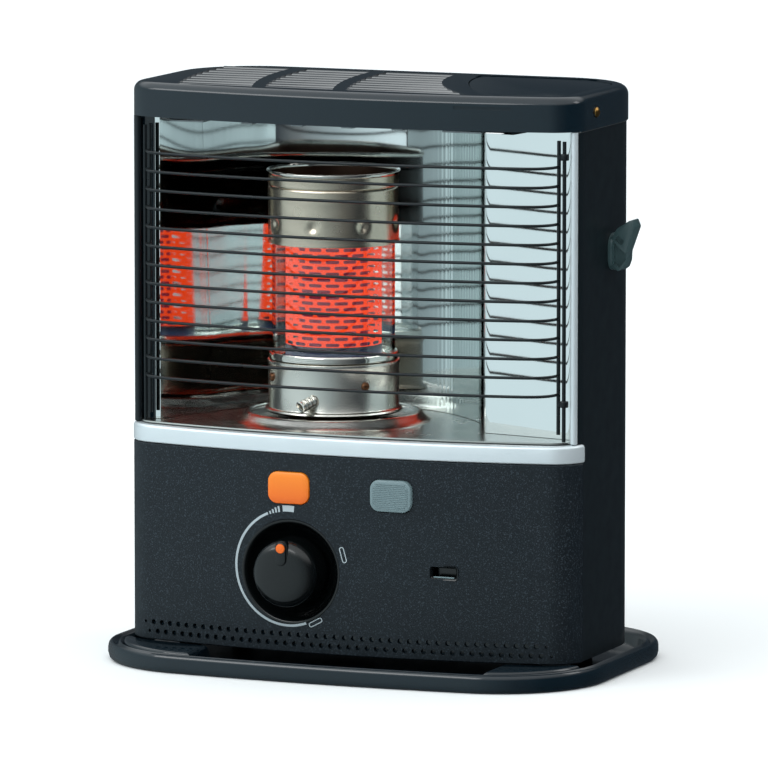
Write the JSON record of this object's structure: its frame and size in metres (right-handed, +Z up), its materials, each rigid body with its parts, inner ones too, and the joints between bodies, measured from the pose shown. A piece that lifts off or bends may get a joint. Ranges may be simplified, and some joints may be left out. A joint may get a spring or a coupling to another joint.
{
  "type": "kerosene heater",
  "caption": "Portable radiant kerosene heater with glowing wick burner, mirror reflector, swing-out wire guard, tank lid, wick knob, push buttons and drip tray.",
  "frame": {"origin": "on the floor, under the middle of the drip tray", "axes": "+X to the viewer's right when facing the front, +Y to the back, +Z up"},
  "size_m": [0.44, 0.296, 0.474],
  "materials": {
    "black_enamel": "glossy baked enamel",
    "textured_panel": "fine textured matt black paint",
    "silver_trim": "satin silver paint",
    "black_plastic": "moulded, semi gloss",
    "chrome": "bright plated mirror",
    "stainless": "polished heat resisting steel",
    "galvanised": "zinc plated",
    "guard_wire": "dark plated wire",
    "heat_glass": "clear heat resisting glass",
    "glowing_net": "red hot perforated steel",
    "orange_plastic": "moulded orange",
    "grey_plastic": "moulded grey, finely ribbed",
    "wick_cotton": "woven cotton and glass fibre",
    "rubber": "moulded",
    "brass": "turned",
    "battery_jacket": "plain printed jacket"
  },
  "bodies": {
    "cabinet": {"drip_tray": "black_enamel", "cabinet_casing": "black_enamel", "top_cover": "black_enamel", "front_panel": "textured_panel", "front_trim_band": "silver_trim", "knob_bezel": "black_plastic", "fuel_gauge_window": "black_plastic", "tank_cap": "black_plastic", "tank_handle": "black_plastic", "battery_case": "black_plastic", "side_handle_left": "black_plastic", "side_handle_right": "black_plastic", "left_reflector_wing": "chrome", "rear_reflector": "chrome", "right_reflector_wing": "chrome", "burner_deck": "chrome", "base_plate": "galvanised", "lid_hinge_pin": "galvanised", "tank_partition": "galvanised", "heat_guard_plate": "galvanised", "fuel_reservoir": "galvanised", "cartridge_tank": "galvanised", "float_bracket": "galvanised", "pendulum_bracket": "galvanised", "guard_pivot_rod": "guard_wire", "guard_latch_rod": "guard_wire", "foot_front_left": "rubber", "foot_front_right": "rubber", "foot_rear_left": "rubber", "foot_rear_right": "rubber", "wick_outer_tube": "brass", "cover_screw_left": "brass", "cover_screw_right": "brass", "battery_cell_lower": "battery_jacket", "battery_cell_upper": "battery_jacket"},
    "tank_lid": {"tank_lid": "black_enamel"},
    "wire_guard": {"wire_guard": "guard_wire"},
    "wick_knob": {"wick_knob": "black_plastic", "knob_pointer_dot": "orange_plastic", "wick_shaft": "galvanised"},
    "wick": {"wick": "wick_cotton", "wick_rack": "brass"},
    "ignition_button": {"ignition_button": "orange_plastic", "ignition_lever": "galvanised", "igniter_plug": "brass"},
    "shutoff_button": {"shutoff_button": "grey_plastic", "shutoff_lever": "galvanised"},
    "burner_cylinders": {"burner_base_drum": "stainless", "glass_holder_ring": "chrome", "outer_glass": "heat_glass", "glowing_net": "glowing_net", "inner_flame_cylinder": "glowing_net", "flame_spreader_disc": "stainless", "upper_chimney_cylinder": "stainless", "chimney_knob": "stainless"},
    "battery_cover": {"battery_cover": "black_plastic"},
    "quake_pendulum": {"pendulum_weight": "brass"},
    "fuel_float": {"fuel_float": "black_plastic"}
  },
  "joints": [
    {"name": "lid_hinge", "type": "hinge", "parent": "cabinet", "child": "tank_lid", "pos_m": [0.105, 0.078, 0.4694], "axis": [-1, 0, 0], "range_deg": [0, 85]},
    {"name": "guard_hinge", "type": "hinge", "parent": "cabinet", "child": "wire_guard", "pos_m": [0.183, -0.064, 0.32], "axis": [0, 0, 1], "range_deg": [0, 85]},
    {"name": "knob_turn", "type": "hinge", "parent": "cabinet", "child": "wick_knob", "pos_m": [-0.041, -0.09, 0.0823], "axis": [0, -1, 0], "range_deg": [0, 210]},
    {"name": "wick_lift", "type": "slide", "parent": "cabinet", "child": "wick", "axis": [0, 0, -1], "range_m": [0, 0.0147]},
    {"name": "ignition_press", "type": "slide", "parent": "cabinet", "child": "ignition_button", "axis": [0, 1, 0], "range_m": [0, 0.005], "stiffness_N_per_m": 300},
    {"name": "shutoff_press", "type": "slide", "parent": "cabinet", "child": "shutoff_button", "axis": [0, 1, 0], "range_m": [0, 0.005], "stiffness_N_per_m": 300},
    {"name": "burner_turn", "type": "hinge", "parent": "cabinet", "child": "burner_cylinders", "pos_m": [-0.0413, -0.0047, 0.3], "axis": [0, 0, 1], "range_deg": [-10, 10]},
    {"name": "battery_cover_hinge", "type": "hinge", "parent": "cabinet", "child": "battery_cover", "pos_m": [-0.088, 0.0994, 0.0926], "axis": [-1, 0, 0], "range_deg": [0, 100]},
    {"name": "pendulum_swing", "type": "hinge", "parent": "cabinet", "child": "quake_pendulum", "pos_m": [0.048, -0.049, 0.107], "axis": [1, 0, 0], "range_deg": [-6, 6]},
    {"name": "float_swing", "type": "hinge", "parent": "cabinet", "child": "fuel_float", "pos_m": [0.0906, -0.05, 0.0694], "axis": [1, 0, 0], "range_deg": [-5, 5]}
  ],
  "couplings": [
    {"joint": "wick_lift", "follows": "knob_turn", "m_per_rad": 0.004}
  ]
}
